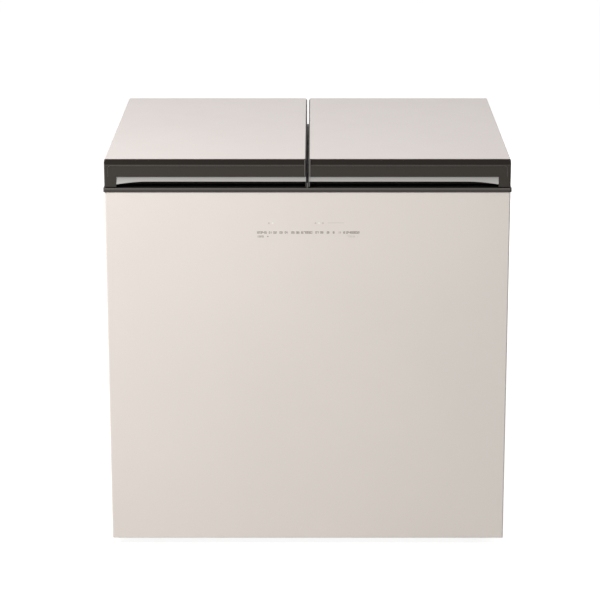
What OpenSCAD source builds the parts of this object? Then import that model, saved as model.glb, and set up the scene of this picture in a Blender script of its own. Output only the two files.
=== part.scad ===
// Twin-lid chest refrigerator: two top-opening wells in one foamed cabinet, each with its own lid,
// with the cooling machinery in a room low at the rear. Millimetres, X to the right, Z up, the
// front faces -Y. The origin is on the floor, at the centre of the outline.

/* [Cabinet] */
// Width across the painted front and side panels
body_w = 904; // [860:1:960]
// Depth from the front panel's face to the back panel
body_d = 719; // [700:1:760]
// Height of the closed lids' tops above the floor
overall_h = 916; // [880:1:960]
// Gap between the floor and the base pan
foot_gap = 18; // [16:1:24]
// Thickness of the side, back and machine-room sheets
sheet_t = 0.8; // [0.6:0.1:1.2]
// Thickness of the front panel's sheet
front_t = 1; // [0.8:0.1:1.5]
// Depth of the front panel's returned edges
front_return = 22; // [16:1:30]
// Thickness of the base pan's sheet
pan_t = 1.2; // [1:0.1:2]
// Height of the base pan's turned-up edges
pan_flange = 12; // [8:1:18]

/* [Top rim] */
// Height of the dark rim between the panels and the lids
rim_h = 10; // [8:0.5:20]
// How far the rim stands out past the panels
rim_proud = 2.5; // [1:0.25:4]
// Thickness of the rim's top plate
rim_t = 3; // [2:0.5:5]
// Corner radius of the rim seen from above
rim_r = 5; // [3:0.5:10]

/* [Wells] */
// Insulation at the outer side of each well
foam_side = 68; // [60:1:80]
// Insulation between the two wells
foam_mid = 84; // [70:1:100]
// Insulation in front of the wells
foam_front = 80; // [65:1:95]
// Insulation behind the wells
foam_rear = 74; // [60:1:90]
// Insulation under the wells
foam_bottom = 95; // [80:1:110]
// Insulation between a well and the machine room
foam_machine = 60; // [50:1:75]
// Thickness of the insulation under the step in each well
foam_step = 75; // [60:1:90]
// Wall of the wells' liners
liner_t = 1.5; // [1:0.1:2.5]
// Corner radius inside the wells
well_r = 30; // [20:1:45]
// Width of the liner's flange under the rim
liner_flange = 14; // [8:1:20]
// Gap between the foam and what is set in it
foam_fit = 0.3; // [0.2:0.05:0.5]

/* [Lids] */
// Height of a closed lid
lid_h = 64; // [56:1:75]
// Gap between the two lids at their tops
lid_gap = 10; // [8:0.5:14]
// Gap between the lids' lower edges and the rim
lid_lift = 2.25; // [1:0.25:3]
// How far the lid frames stand out past the panels, in the gap
shoulder = 2.5; // [1:0.25:3]
// How far the lids' outer sides lean in along the plain band
side_lean = 3.5; // [2:0.5:4]
// Wall of the lid frames
lid_wall = 2.5; // [2:0.25:4]
// Thickness of the lids' top panels
panel_t = 1.2; // [0.8:0.1:2]
// Width of the ledge that carries a lid's top panel
ledge_w = 14; // [8:1:20]
// Height of the plain band under a lid's top panel
band_h = 14; // [8:0.5:17]
// Height of the fascia between the band and the handle strip
fascia_h = 27; // [20:1:32]
// How far the fascia stands out past the band
fascia_out = 1.2; // [0.6:0.1:2]
// Depth of the lid's plug in the well
plug_h = 28; // [15:1:40]
// Gap between the plug and the well's walls
plug_gap = 6; // [4:0.5:10]
// Width of the lid gaskets
gasket_w = 12; // [8:1:16]
// Height of the gaskets above the lid's lower edge
gasket_in = 6; // [4:0.5:8]
// Gap between a gasket and the rim at rest
gasket_gap = 0.3; // [0.2:0.05:0.6]

/* [Handles] */
// Distance from a lid's outer end to its handle strip
grip_inset = 27; // [20:1:40]
// Height of the handle strip along its middle
grip_h = 11; // [8:1:18]
// Height of the handle strip's outer end above the lid's lower edge
grip_low = 6; // [2:0.5:10]
// Thickness of the handle strip
grip_t = 2.5; // [2:0.25:4]
// Depth of the finger recess behind the strip
recess_d = 28; // [22:1:35]
// Length over which the strip's lower edge sweeps down
sweep_l = 70; // [50:5:140]

/* [Hinges] */
// Diameter of the hinge pins
pin_d = 8; // [6:0.5:9]
// Radius of the hinge knuckles
knuckle_r = 6.5; // [6:0.25:7]
// Distance from the back panel to the hinge axis
axis_out = 7; // [6.9:0.1:9]
// Height of the hinge axis above the rim
axis_up = 8.5; // [7:0.5:12]
// Distance from a lid's outer end to its outer hinge
hinge_inset = 62; // [50:1:90]
// Distance between the two hinges of a lid
hinge_pitch = 300; // [250:5:320]
// Width of a hinge over its ears
hinge_w = 50; // [44:1:60]
// Thickness of the hinge ears and plates
hinge_t = 2.5; // [2:0.25:3.5]
// Length of the knuckle on the lid's arm
knuckle_l = 26; // [20:1:30]
// Wire radius of the hinge springs
wire_r = 0.7; // [0.5:0.05:0.8]
// Number of curls in a hinge spring
spring_turns = 5; // [3:1:6]

/* [Machine room] */
// Depth of the machine room
machine_d = 248; // [225:1:270]
// Height of the machine room above the base pan's underside
machine_h = 232; // [215:1:250]
// Diameter of the compressor's shell
comp_d = 150; // [130:1:170]
// Height of the compressor's shell
comp_h = 160; // [130:1:170]
// Distance from the cabinet's right side to the compressor's centre
comp_in = 202; // [190:1:230]
// Height of the rubber grommets under the compressor
grommet_h = 16; // [12:1:20]
// Radius of the studs that hold the compressor
stud_r = 3; // [2.5:0.25:4]
// Number of fins on the condenser
fin_n = 16; // [12:1:18]
// Distance between the condenser's fins
fin_pitch = 9; // [7:0.5:10]
// Thickness of a condenser fin
fin_t = 0.8; // [0.6:0.1:1.2]
// Radius of the condenser's tubes
cond_r = 3.5; // [3:0.25:4]
// Radius of the fan's blades
fan_r = 60; // [50:1:68]
// Number of fan blades
blade_n = 5; // [3:1:7]
// Radius of the refrigerant pipes
pipe_r = 3; // [2.5:0.25:4]
// Radius of the evaporator tubes
evap_r = 3.5; // [3:0.25:4]
// Distance between the turns of the upper evaporator
evap_pitch = 80; // [60:5:100]

/* [Feet and rollers] */
// Diameter of the levelling feet
foot_d = 44; // [36:1:50]
// Thickness of the levelling feet
foot_t = 8; // [6:0.5:10]
// Radius of the levelling screws
screw_r = 5; // [4:0.5:6]
// Running clearance of turning and sliding pieces
run_fit = 0.05; // [0.02:0.01:0.1]
// Distance of the feet from the cabinet's sides
foot_x_in = 70; // [60:1:120]
// Distance of the feet from the front panel
foot_y_in = 75; // [60:1:120]
// Diameter of the rear rollers
roller_d = 30; // [26:1:34]
// Width of the rear rollers
roller_w = 18; // [14:1:24]
// Distance of the rollers from the cabinet's sides
roller_x_in = 60; // [50:1:80]
// Distance of the rollers from the back panel
roller_y_in = 45; // [40:1:60]
// Radius of the roller axles
axle_r = 3; // [2.5:0.25:4]

/* [Containers] */
// Gap between a container's lid and the walls of its well
box_gap = 10; // [7:0.5:20]
// Gap between the two containers of a well
box_between = 6; // [4:0.5:10]
// Height of a container with its lid
box_h = 200; // [160:1:205]
// Wall of the containers
box_t = 2.2; // [1.8:0.1:3]
// Height of a container's lid
box_lid_h = 14; // [10:1:20]
// Thickness of a container's lid
box_lid_t = 2.5; // [2:0.1:3]
// Corner radius of a container's lid
box_r = 30; // [22:1:36]
// How far a container's lid stands out past its walls
box_brim = 5; // [4:0.5:7]

/* [Hidden] */
$fn = 48;
// Outline: the rim stands out in front, the knuckles behind
total_d = rim_proud + body_d + axis_out + knuckle_r;
half_w = body_w / 2;
y_front = rim_proud - total_d / 2;
y_back = y_front + body_d;
// Levels
rim_top = overall_h - lid_h - lid_lift;
rim_z = rim_top - rim_h;
lid_z = rim_top + lid_lift;
panel_z = overall_h - panel_t;
pan_top = foot_gap + pan_t;
// Wells: left one between well_x0 and well_x1, the right one mirrored
well_x0 = -(half_w - foam_side);
well_x1 = -foam_mid / 2;
well_y0 = y_front + foam_front;
well_y1 = y_back - foam_rear;
well_z = foot_gap + foam_bottom;
room_y = y_back - machine_d;
room_z = foot_gap + machine_h;
low_y1 = room_y - foam_machine;
step_z = room_z + foam_step;
// Inner faces of the sheets
in_x = half_w - sheet_t;
in_y = y_back - sheet_t;
ret_w = 14;
ret_y = in_y - sheet_t;
pan_y1 = ret_y;
pan_y0 = y_front + front_return;
foam_y1 = ret_y - 0.2;
// Lids: the left one between lid_x0 and lid_x1
lid_x0 = -half_w;
lid_x1 = -lid_gap / 2;
lid_y1 = y_back - 1;
band_z = overall_h - band_h;
fascia_z = band_z - fascia_h;
flange_z = lid_z + gasket_in;
recess_y = y_front + recess_d;
fit = 0.3;
// Hinges
axis_y = y_back + axis_out;
axis_z = rim_top + axis_up;
hinge_xs = [lid_x0 + hinge_inset, lid_x0 + hinge_inset + hinge_pitch];
ear_in = hinge_w / 2 - hinge_t;
hinge_play = 0.6;
arm_low = 15;
arm_high = 42;
rivet_in = 7;
rivet_r = 4;
plate_low = axis_z - 63;
// Evaporators: levels of the tubes round each well, the low ones round its deep part
evap_low = [for (i = [0:2]) well_z + 45 + i * 62];
evap_high = [for (i = [0:4]) step_z + 50 + i * evap_pitch];
evap_off = liner_t + fit + evap_r;
lead_half = 14;
lead_y = low_y1 - well_r - lead_half - 12;
lead_out = 13;
lead_x = -(half_w - foam_side) - evap_off - lead_out;
lead_z = [room_z - 90, room_z - 60];
main_y = room_y + 10;
// Machine room
comp_x = half_w - comp_in;
comp_y = room_y + machine_d / 2;
comp_z = pan_top + grommet_h;
plate_t = 2.5;
plate_x = comp_d / 2 + 21;
plate_y = comp_d / 2 + 1;
grommet_r = 12;
comp_feet = [for (sx = [-1, 1], sy = [-1, 1])
  [comp_x + sx * (plate_x - grommet_r - 2), comp_y + sy * (plate_y - grommet_r - 2)]];
dome_r = 30;
base_r = 14;
terminal = [34, 48, 45];
port_r = pipe_r + 1.5;
port_l = 14;
cond_x = -40;
cond_w = 50;
cond_in = 13;
cond_l = (fin_n - 1) * fin_pitch + fin_t;
cond_y0 = room_y + machine_d / 2 - cond_l / 2;
cond_z0 = pan_top + 12;
cond_fin_h = 168;
cond_pitch = 28;
cond_rows = 6;
shroud_x = cond_x + cond_w + 8;
shroud_t = 2.5;
fan_z = cond_z0 + cond_fin_h / 2;
fan_y = comp_y;
fan_x = shroud_x + 22;
hub_r = 13;
hub_l = 18;
blade_w = 38;
blade_t = 1.8;
motor_r = 15;
ring_l = 20;
// Electronics
ctrl_x0 = -in_x + 14;
ctrl_w = 150;
ctrl_d = 130;
ctrl_h = 70;
ctrl_post = 10;
ctrl_y0 = room_y + 30;
board_z = rim_z - 72;
board_w = 240;
board_h = 66;
board_t = 1.6;
board_gap = 6;
touch_r = 6;
touch_pitch = 26;
inlet_x = -in_x + 70;
inlet_z = pan_top + 45;
inlet_r = 13;
cord_r = 4.5;
// Feet and rollers
foot_x = half_w - foot_x_in;
foot_y = y_front + foot_y_in;
bush_r = screw_r + 4;
bush_h = 16;
bush_low = 4;
bush_lip = 3;
screw_l = 38;
roller_x = half_w - roller_x_in;
roller_y = y_back - roller_y_in;
roller_z = roller_d / 2;
bracket_t = 1.5;
bracket_gap = 1;
bracket_w = 24;
bracket_lip = 14;
// Containers: their corners in the left well
box_w = well_x1 - well_x0 - 2 * box_gap;
box_d = (well_y1 - well_y0 - 2 * box_gap - box_between) / 2;
box_x0c = well_x0 + box_gap;
box_y0c = [well_y0 + box_gap, well_y0 + box_gap + box_d + box_between];
box_z0c = [well_z + fit, step_z + fit];
// Screws on the back: columns near each side, rows up the two covers
screw_rows = [pan_top + 45, room_z - 30, room_z + 40, (room_z + rim_z) / 2, rim_z - 60];
// Air slots in the rear cover
vent_w = 8;
vent_h = 40;
vent_top = 30;
vent_pitch = [40, 60];
back_screw_r = 1.8;

// ---- shapes used by several pieces ----

// A box between two corners
module box(x0, x1, y0, y1, z0, z1) {
  translate([x0, y0, z0]) cube([x1 - x0, y1 - y0, z1 - z0]);
}

// A rectangle with round corners
module rrect(x0, x1, y0, y1, r) {
  translate([x0 + r, y0]) square([x1 - x0 - 2 * r, y1 - y0]);
  translate([x0, y0 + r]) square([x1 - x0, y1 - y0 - 2 * r]);
  for (x = [x0 + r, x1 - r], y = [y0 + r, y1 - r]) translate([x, y]) circle(r);
}

// A box whose upright edges are round
module rbox(x0, x1, y0, y1, z0, z1, r) {
  translate([0, 0, z0]) linear_extrude(z1 - z0) rrect(x0, x1, y0, y1, r);
}

// A frame standing on the outline of a rounded box, as wide as w
module ring_box(x0, x1, y0, y1, z0, z1, r, w) {
  difference() {
    rbox(x0, x1, y0, y1, z0, z1, r);
    rbox(x0 + w, x1 - w, y0 + w, y1 - w, z0 - 1, z1 + 1, max(r - w, 0.5));
  }
}

// Round bars along the axes
module bar_x(x0, x1, y, z, r) { translate([x0, y, z]) rotate([0, 90, 0]) cylinder(h = x1 - x0, r = r); }
module bar_y(x, y0, y1, z, r) { translate([x, y0, z]) rotate([-90, 0, 0]) cylinder(h = y1 - y0, r = r); }
module bar_z(x, y, z0, z1, r) { translate([x, y, z0]) cylinder(h = z1 - z0, r = r); }

// A round bar between any two points
module bar(a, b, r) {
  d = b - a;
  translate(a) rotate([0, atan2(norm([d[0], d[1]]), d[2]), atan2(d[1], d[0])])
    cylinder(h = norm(d), r = r);
}

// A pipe through a list of points, with a ball at each bend and, if asked, at its first point
module pipe(points, r, first = 1) {
  for (i = [0:len(points) - 2]) bar(points[i], points[i + 1], r);
  for (i = [first:1:len(points) - 2]) translate(points[i]) sphere(r);
}

// Extrudes a drawing in Y and Z along X, or one in X and Z along Y
module along_x(x0, x1) { translate([x0, 0, 0]) rotate([90, 0, 90]) linear_extrude(x1 - x0) children(); }
module along_y(y0, y1) { translate([0, y1, 0]) rotate([90, 0, 0]) linear_extrude(y1 - y0) children(); }

// The right-hand copy of a left-hand piece
module right() { mirror([1, 0, 0]) children(); }
module both() { children(); right() children(); }

// ---- cabinet ----

module side_panel() {
  difference() {
    union() {
      box(-half_w, -in_x, pan_y0, y_back, foot_gap, rim_z);
      box(-in_x, -in_x + ret_w, ret_y, in_y, foot_gap, rim_z);
    }
    for (z = screw_rows) bar_y(-in_x + ret_w / 2, ret_y - 1, in_y + 1, z, back_screw_r);
  }
}
module side_panel_left() { color("#d8cfc8") side_panel(); }
module side_panel_right() { color("#d8cfc8") right() side_panel(); }

// A tray with its open side to the back
module front_panel() {
  color("#e4dbd4") difference() {
    rbox(-half_w, half_w, y_front, pan_y0 + 8, foot_gap, rim_z, 3);
    box(-half_w - 1, half_w + 1, pan_y0, pan_y0 + 9, foot_gap - 1, rim_z + 1);
    box(-half_w + front_t, half_w - front_t, y_front + front_t, pan_y0 + 1,
        foot_gap + front_t, rim_z - front_t);
  }
}

module back_panel() {
  color("#c9c5c0") difference() {
    box(-in_x + 0.2, in_x - 0.2, in_y, y_back, room_z, rim_z);
    for (s = [-1, 1], z = screw_rows)
      bar_y(s * (in_x - ret_w / 2), in_y - 1, y_back + 1, z, back_screw_r);
    for (x = hinge_xs, s = [-1, 1], dx = [-1, 1])
      bar_y(s * x + dx * hinge_w / 4, in_y - 1, y_back + 1, plate_low + 12, back_screw_r);
  }
}

module base_pan() {
  color("#8f9294") difference() {
    union() {
      box(-in_x, in_x, pan_y0, pan_y1, foot_gap, pan_top);
      both() box(-in_x, -in_x + pan_t, pan_y0, pan_y1, pan_top, pan_top + pan_flange);
      box(-in_x + pan_t, in_x - pan_t, pan_y1 - pan_t, pan_y1, pan_top, pan_top + pan_flange);
    }
    for (s = [-1, 1]) bar_z(s * foot_x, foot_y, foot_gap - 1, pan_top + 1, bush_r - 2);
    for (s = [-1, 1]) translate([s * roller_x, roller_y, 0])
      box(-roller_w / 2 - bracket_gap, roller_w / 2 + bracket_gap, -roller_d / 2 - 3, roller_d / 2 + 3,
          foot_gap - 1, pan_top + 1);
  }
}

module top_rim() {
  edge = rim_proud * 0.8;
  color("#464340") difference() {
    intersection() {
      rbox(-half_w - rim_proud, half_w + rim_proud, y_front - rim_proud, y_back + rim_r,
           rim_z, rim_top, rim_r);
      // round edges in front and at the sides
      along_y(y_front - body_d, y_back + body_d)
        rrect(-half_w - rim_proud, half_w + rim_proud, rim_z, rim_top, edge);
      along_x(-body_w, body_w)
        rrect(y_front - rim_proud, y_back + body_d, rim_z, rim_top, edge);
    }
    box(-body_w, body_w, y_back, y_back + body_d, rim_z - 1, rim_top + 1);
    box(-in_x, in_x, y_front + front_t, in_y, rim_z - 1, rim_top - rim_t);
    both() rbox(well_x0, well_x1, well_y0, well_y1, rim_z - 1, rim_top + 1, well_r);
  }
}

// The space of the left well, its walls moved out by off: a full-depth part above the step and a
// shorter one below
module well(off, top) {
  rbox(well_x0 - off, well_x1 + off, well_y0 - off, well_y1 + off, step_z - off, top, well_r + off);
  rbox(well_x0 - off, well_x1 + off, well_y0 - off, low_y1 + off, well_z - off, step_z + 5, well_r + off);
}

module liner() {
  flange_top = rim_top - rim_t;
  w = liner_flange;
  difference() {
    union() {
      well(liner_t, flange_top);
      rbox(well_x0 - w, well_x1 + w, well_y0 - w, well_y1 + w,
           flange_top - liner_t, flange_top, well_r + w);
    }
    well(0, flange_top + 1);
  }
}
module liner_left() { color("#e9eaec") liner(); }
module liner_right() { color("#e9eaec") right() liner(); }

// One turn of the evaporator round the well: a flattened tube, open between its two leads
module evap_turn(y1, z) {
  o = evap_off + evap_r;
  difference() {
    ring_box(well_x0 - o, well_x1 + o, well_y0 - o, y1 + o, z - evap_r, z + evap_r,
             well_r + o, 2 * evap_r);
    box(well_x0 - o - 1, well_x0, lead_y - lead_half + 1, lead_y + lead_half - 1,
        z - evap_r - 1, z + evap_r + 1);
  }
}

// A square-edged tube from point to point along the axes
module duct(points, r) {
  for (i = [0:len(points) - 2]) {
    a = points[i];
    b = points[i + 1];
    box(min(a[0], b[0]) - r, max(a[0], b[0]) + r, min(a[1], b[1]) - r, max(a[1], b[1]) + r,
        min(a[2], b[2]) - r, max(a[2], b[2]) + r);
  }
}

// The whole tube: its turns, the slanted steps between them, and its two leads to the machine room
module evaporator() {
  zs = concat(evap_low, evap_high);
  n = len(zs);
  r = evap_r;
  x = well_x0 - evap_off;
  a = lead_y - lead_half;
  b = lead_y + lead_half;
  end = room_y - 2 - r;
  for (i = [0:n - 1]) evap_turn(i < len(evap_low) ? low_y1 : well_y1, zs[i]);
  for (i = [0:n - 2]) along_x(x - r, x + r)
    polygon([[a, zs[i] - r], [b, zs[i + 1] - r], [b, zs[i + 1] + r], [a, zs[i] + r]]);
  duct([[x, b + r, zs[0]], [lead_x, b + r, zs[0]], [lead_x, b + r, lead_z[0]],
        [lead_x, end, lead_z[0]]], r);
  duct([[x, a - r, zs[n - 1]], [lead_x, a - r, zs[n - 1]], [lead_x, a - r, lead_z[1]],
        [lead_x, end, lead_z[1]]], r);
}
module evaporator_left() { color("#b8703c") evaporator(); }
module evaporator_right() { color("#b8703c") right() evaporator(); }

// The grooves that hold the evaporator, its steps and its leads
module evap_groove() {
  g = evap_off + evap_r + foam_fit;
  h = evap_r + foam_fit;
  x0 = well_x0 - g;
  x1 = well_x1 + g;
  for (z = evap_low) rbox(x0, x1, well_y0 - g, low_y1 + g, z - h, z + h, well_r + g);
  for (z = evap_high) rbox(x0, x1, well_y0 - g, well_y1 + g, z - h, z + h, well_r + g);
  zs = concat(evap_low, evap_high);
  top = zs[len(zs) - 1];
  a = lead_y - lead_half - evap_r;
  b = lead_y + lead_half + evap_r;
  box(x0, x0 + 2 * h, a - evap_r, b + evap_r, zs[0] - h, top + h);
  duct([[x0, b, zs[0]], [lead_x, b, zs[0]], [lead_x, b, lead_z[0]],
        [lead_x, room_y, lead_z[0]]], h);
  duct([[x0, a, top], [lead_x, a, top], [lead_x, a, lead_z[1]], [lead_x, room_y, lead_z[1]]], h);
}

module insulation_foam() {
  flange_low = rim_top - rim_t - liner_t - foam_fit;
  w = liner_flange + 0.5;
  color("#e8d9a8") difference() {
    union() {
      box(-in_x + 0.2, in_x - 0.2, pan_y0, foam_y1, pan_top, rim_z);
      box(-in_x + 0.5, in_x - 0.5, pan_y0, foam_y1 - 0.3, rim_z - 1, rim_top - rim_t - fit);
      box(-half_w + front_t + 0.2, half_w - front_t - 0.2, y_front + front_t + 0.2, pan_y0 + 1,
          pan_top + 0.2, rim_z - front_t - 0.2);
    }
    // the base pan's turned-up edges
    both() box(-half_w, -in_x + pan_t + 0.2, pan_y0 - 0.1, y_back, foot_gap, pan_top + pan_flange + 0.3);
    // the machine room with its plate
    box(-half_w, half_w, room_y - sheet_t, y_back, foot_gap, room_z + sheet_t);
    // wells, flanges and evaporators
    both() {
      well(liner_t + foam_fit, rim_top + 1);
      rbox(well_x0 - w, well_x1 + w, well_y0 - w, well_y1 + w, flange_low, rim_top + 1, well_r + w);
      evap_groove();
      sensor_pocket();
      // the levelling screw and its bush
      bar_z(-foot_x, foot_y, foot_gap, foot_t + screw_l + 5, bush_r + bush_lip + 2);
    }
    // the display board's pocket behind the front panel
    box(-board_w / 2 - 3, board_w / 2 + 3, y_front + front_t, y_front + front_t + 22,
        board_z - board_h / 2 - 3, board_z + board_h / 2 + 3);
    // the screws of the back panel and hinges
    for (s = [-1, 1], z = screw_rows)
      bar_y(s * (in_x - ret_w / 2), in_y - 12, y_back, z, back_screw_r + 0.4);
    for (x = hinge_xs, s = [-1, 1], dx = [-1, 1])
      bar_y(s * x + dx * hinge_w / 4, in_y - 12, y_back, plate_low + 12, back_screw_r + 0.4);
  }
}

// Capsules against the liners' front walls, each in a small holder
module sensor_pocket() {
  x = (well_x0 + well_x1) / 2;
  box(x - 17, x + 17, well_y0 - 20, well_y0, step_z + 82, step_z + 98);
}
module sensor() {
  x = (well_x0 + well_x1) / 2;
  y = well_y0 - liner_t - 7;
  z = step_z + 90;
  bar_x(x - 12, x + 8, y, z, 3);
  translate([x + 8, y, z]) sphere(3);
  box(x - 14, x - 4, y - 4.5, well_y0 - liner_t, z - 5, z + 5);
}
module temperature_sensors() { color("#b0a060") both() sensor(); }

// Front wall and ceiling of the machine room, with holes for the evaporators' leads
module machine_room_plate() {
  color("#a9acae") difference() {
    union() {
      box(-in_x + 0.2, in_x - 0.2, room_y - sheet_t, room_y, pan_top, room_z + sheet_t);
      box(-in_x + 0.2, in_x - 0.2, room_y, ret_y, room_z, room_z + sheet_t);
    }
    for (s = [0, 1]) mirror([s, 0, 0]) {
      box(-half_w, -in_x + pan_t + 0.2, room_y - 2, y_back, foot_gap, pan_top + pan_flange + 0.3);
      for (z = lead_z) bar_y(lead_x, room_y - 3, room_y + 3, z, evap_r + 0.5);
    }
  }
}

// ---- machine room ----

// A domed shell on a foot plate, with ports for the two pipes and a terminal box
module compressor() {
  r = comp_d / 2;
  z0 = comp_z + plate_t;
  e = dome_r;
  f = base_r;
  t = terminal;
  color("#232324") difference() {
    union() {
      translate([comp_x, comp_y, z0]) rotate_extrude() polygon(concat([[0, -1], [r - f, -1]],
        [for (i = [0:6]) [r - f + f * sin(i * 15), f - f * cos(i * 15)]],
        [for (i = [0:9]) [r - e + e * cos(i * 10), comp_h - e + e * sin(i * 10)]], [[0, comp_h]]));
      translate([comp_x, comp_y, z0 + comp_h / 2]) cylinder(h = 8, r = r + 3);
      rbox(comp_x - plate_x, comp_x + plate_x, comp_y - plate_y, comp_y + plate_y,
           comp_z, z0, grommet_r + 2);
      translate([comp_x + r - 12, comp_y - t[1] / 2, z0 + comp_h / 4]) cube(t);
      bar_y(suction_from[0], suction_from[1], comp_y - r + 25, suction_from[2], port_r);
      bar_z(disc_from[0], disc_from[1], disc_from[2] - 36, disc_from[2], port_r);
    }
    for (p = comp_feet) bar_z(p[0], p[1], comp_z - 1, z0 + 2, stud_r + 0.4);
  }
}
module compressor_grommets() {
  color("#1b1b1b") for (p = comp_feet) difference() {
    bar_z(p[0], p[1], pan_top, comp_z, grommet_r);
    bar_z(p[0], p[1], pan_top - 1, comp_z + 1, stud_r + 0.4);
  }
}
module compressor_studs() {
  color("#a7aaad") for (p = comp_feet) {
    bar_z(p[0], p[1], pan_top, comp_z + plate_t + 12, stud_r);
    translate([p[0], p[1], comp_z + plate_t]) cylinder(h = 6, r = stud_r * 1.9, $fn = 6);
  }
}

// Two rows of tubes through upright fins, joined by bends into one run
module condenser() {
  xs = [cond_x + cond_in, cond_x + cond_w - cond_in];
  zs = [for (i = [0:cond_rows - 1]) cond_z0 + 14 + i * cond_pitch];
  ends = [cond_y0 - 8, cond_y0 + cond_l + 8];
  color("#8c8f92") union() {
    for (i = [0:fin_n - 1])
      translate([cond_x, cond_y0 + i * fin_pitch, cond_z0]) cube([cond_w, fin_t, cond_fin_h]);
    for (x = xs, z = zs) bar_y(x, ends[0], ends[1], z, cond_r);
    for (x = xs, i = [0:cond_rows - 2]) {
      m = (i + 1) % 2;
      translate([x, ends[m], (zs[i] + zs[i + 1]) / 2]) rotate([0, 90, 0])
        rotate([0, 0, m == 0 ? 180 : 0]) rotate_extrude(angle = 180)
          translate([cond_pitch / 2, 0]) circle(cond_r);
    }
    translate([(xs[0] + xs[1]) / 2, ends[0], zs[0]]) rotate([0, 0, 180]) rotate_extrude(angle = 180)
      translate([(xs[1] - xs[0]) / 2, 0]) circle(cond_r);
    // feet on the base pan
    for (y = [cond_y0, cond_y0 + cond_l - fin_t])
      box(cond_x, cond_x + cond_w, y, y + fin_t, pan_top, cond_z0 + 2);
  }
}

// A plate with a round opening, and three arms that hold the motor behind it
module fan_shroud() {
  y0 = cond_y0;
  y1 = cond_y0 + cond_l;
  color("#33373a") difference() {
    union() {
      box(shroud_x, shroud_x + shroud_t, y0, y1, pan_top, cond_z0 + cond_fin_h);
      bar_x(shroud_x, shroud_x + ring_l, fan_y, fan_z, fan_r + 6.5);
      for (y = [y0, y1 - 6])
        box(cond_x + cond_w, shroud_x + 1, y, y + 6, cond_z0 + 20, cond_z0 + cond_fin_h - 20);
      box(shroud_x, shroud_x + 30, y0, y1, pan_top, pan_top + 2);
    }
    bar_x(shroud_x - 9, shroud_x + ring_l + 1, fan_y, fan_z, fan_r + 4);
  }
  color("#33373a") for (a = [90, 210, 330]) intersection() {
    translate([0, fan_y, fan_z]) rotate([a, 0, 0])
      box(shroud_x, shroud_x + 4, motor_r + 3, fan_r + 5.2, -4, 4);
    bar_x(shroud_x - 1, shroud_x + 5, fan_y, fan_z, fan_r + 5.2);
  }
  color("#33373a") difference() {
    bar_x(shroud_x, shroud_x + 4, fan_y, fan_z, motor_r + 7);
    bar_x(shroud_x - 1, shroud_x + 5, fan_y, fan_z, motor_r + 0.3);
  }
}
module fan_motor() {
  color("#55585b") union() {
    bar_x(shroud_x - 6, shroud_x + 8, fan_y, fan_z, motor_r);
    bar_x(shroud_x + 8, fan_x + hub_l / 2 - 1, fan_y, fan_z, 2);
    bar_x(shroud_x + 4, shroud_x + 6, fan_y, fan_z, motor_r + 4);
  }
}
module fan_blade() {
  color("#2b2e30") difference() {
    union() {
      bar_x(fan_x + 1 - hub_l / 2, fan_x + 1 + hub_l / 2, fan_y, fan_z, hub_r);
      for (i = [0:blade_n - 1]) intersection() {
        translate([fan_x, fan_y, fan_z]) rotate([i * 360 / blade_n, 0, 0]) rotate([0, 0, 32])
          box(-blade_t / 2, blade_t / 2, -blade_w / 2, blade_w / 2, hub_r - 5, fan_r + 8);
        bar_x(fan_x - 14, fan_x + 14, fan_y, fan_z, fan_r);
      }
    }
    bar_x(fan_x - hub_l / 2, fan_x + hub_l / 2 - 0.8, fan_y, fan_z, 2 + run_fit);
  }
}

// Pipe runs, given from port to port
disc_from = [comp_x - 40, comp_y, comp_z + plate_t + comp_h + 6];
disc_z = min(disc_from[2] + 14, room_z - 12);
suction_from = [comp_x - 30, comp_y - comp_d / 2 - port_l, comp_z + plate_t + comp_h * 3 / 8];
cond_top = cond_z0 + 14 + (cond_rows - 1) * cond_pitch;
cond_near = [cond_x + cond_in, cond_y0 - 8, cond_top];
cond_far = [cond_x + cond_w - cond_in, cond_y0 - 8, cond_top];
link_y = cond_y0 - 24;
drier_x = cond_x - 55;
drier_y = cond_y0 + 6;
drier_z = [cond_z0 + 40, cond_z0 + 130];
module filter_drier() {
  a = drier_z[0];
  b = drier_z[1];
  color("#b8703c") translate([drier_x, drier_y, 0]) rotate_extrude()
    polygon([[0, a], [4, a], [10, a + 10], [10, b - 10], [4, b], [0, b]]);
}
module refrigerant_pipes() {
  color("#c07a45") {
    // hot gas from the compressor to the condenser
    pipe([disc_from, [disc_from[0], comp_y, disc_z], [disc_from[0], link_y, disc_z],
          [cond_far[0], link_y, disc_z], [cond_far[0], link_y, cond_top], cond_far], pipe_r);
    // liquid from the condenser to the drier
    pipe([cond_near, [cond_near[0], link_y, cond_top], [drier_x, link_y, cond_top],
          [drier_x, drier_y, cond_top], [drier_x, drier_y, drier_z[1]]], pipe_r);
    // from the drier to both evaporators
    pipe([[drier_x, drier_y, drier_z[0]], [drier_x, drier_y, drier_z[0] - 15],
          [drier_x, main_y, drier_z[0] - 15], [drier_x, main_y, lead_z[0]]], pipe_r);
    pipe([[lead_x, room_y - 2, lead_z[0]], [lead_x, main_y, lead_z[0]], [-lead_x, main_y, lead_z[0]],
          [-lead_x, room_y - 2, lead_z[0]]], pipe_r);
    // from both evaporators back to the compressor
    pipe([[lead_x, room_y - 2, lead_z[1]], [lead_x, main_y, lead_z[1]], [-lead_x, main_y, lead_z[1]],
          [-lead_x, room_y - 2, lead_z[1]]], pipe_r);
    pipe([[suction_from[0], main_y, lead_z[1]], [suction_from[0], main_y + 10, lead_z[1]],
          [suction_from[0], main_y + 10, suction_from[2]], suction_from], pipe_r);
  }
}

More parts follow.
